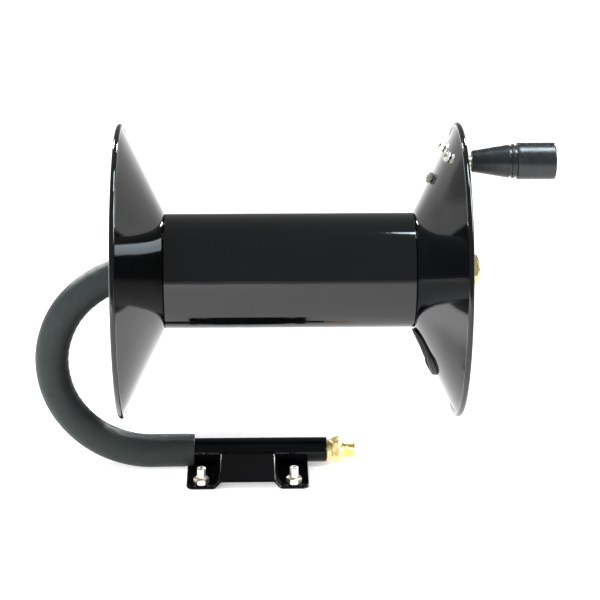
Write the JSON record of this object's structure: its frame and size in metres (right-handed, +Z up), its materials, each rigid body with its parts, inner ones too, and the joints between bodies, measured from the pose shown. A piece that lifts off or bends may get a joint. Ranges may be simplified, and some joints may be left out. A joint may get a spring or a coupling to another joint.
{
  "type": "hose reel",
  "caption": "Hand-cranked hose reel: a flanged winding drum on a J-shaped pipe arm with a bolt-down base, brass inlet and swivel, and a crank grip.",
  "frame": {"origin": "Under the middle of the overall box, in the plane of the base's underside.", "axes": "+Z up, square to the base. +X along the reel's axis towards the crank grip. +Y away from the viewer who has the crank on the right."},
  "size_m": [0.5444, 0.307, 0.3771],
  "materials": {
    "enamel": "gloss black enamel",
    "foam": "matt closed-cell foam rubber",
    "brass": "machined brass",
    "zinc": "pale zinc plating",
    "rubber": "black moulded rubber",
    "grip_plastic": "satin black moulded plastic",
    "nylon": "natural nylon"
  },
  "bodies": {
    "mount": {"base_bracket": "enamel", "base_stud_1": "zinc", "base_stud_2": "zinc", "base_stud_3": "zinc", "base_stud_4": "zinc", "base_nut_1": "zinc", "base_nut_2": "zinc", "base_nut_3": "zinc", "base_nut_4": "zinc", "arm_pipe": "enamel", "foam_sleeve": "foam", "inlet_fitting": "brass", "thrust_washer_left": "zinc", "thrust_washer_right": "zinc", "axle_collar_left": "zinc", "axle_collar_right": "zinc", "collar_set_screw_left": "zinc", "collar_set_screw_right": "zinc", "swivel_stem": "brass"},
    "reel": {"drum": "enamel", "flange_left": "enamel", "flange_right": "enamel", "hub_bushing_left": "nylon", "hub_bushing_right": "nylon", "tie_rod_1": "zinc", "tie_rod_2": "zinc", "tie_rod_3": "zinc", "tie_rod_nut_left_1": "zinc", "tie_rod_nut_left_2": "zinc", "tie_rod_nut_left_3": "zinc", "tie_rod_nut_right_1": "zinc", "tie_rod_nut_right_2": "zinc", "tie_rod_nut_right_3": "zinc", "swivel_body": "brass", "swivel_cap": "brass", "swivel_seal_1": "rubber", "swivel_seal_2": "rubber", "outlet_nipple": "brass", "hose_grommet": "rubber", "handle_bracket": "zinc", "bracket_screw_1": "zinc", "bracket_screw_2": "zinc", "bracket_screw_3": "zinc", "bracket_nut_1": "zinc", "bracket_nut_2": "zinc", "bracket_nut_3": "zinc", "grip_spindle": "zinc", "spindle_spacer": "zinc", "spindle_lock_nut": "zinc"},
    "grip": {"grip": "grip_plastic", "grip_end_cap": "grip_plastic"}
  },
  "joints": [
    {"name": "reel_spin", "type": "hinge", "parent": "mount", "child": "reel", "pos_m": [0, 0, 0.22364], "axis": [1, 0, 0], "continuous": true},
    {"name": "grip_spin", "type": "hinge", "parent": "reel", "child": "grip", "pos_m": [0.2272, 0.01322, 0.33787], "axis": [1, 0, 0], "continuous": true}
  ]
}
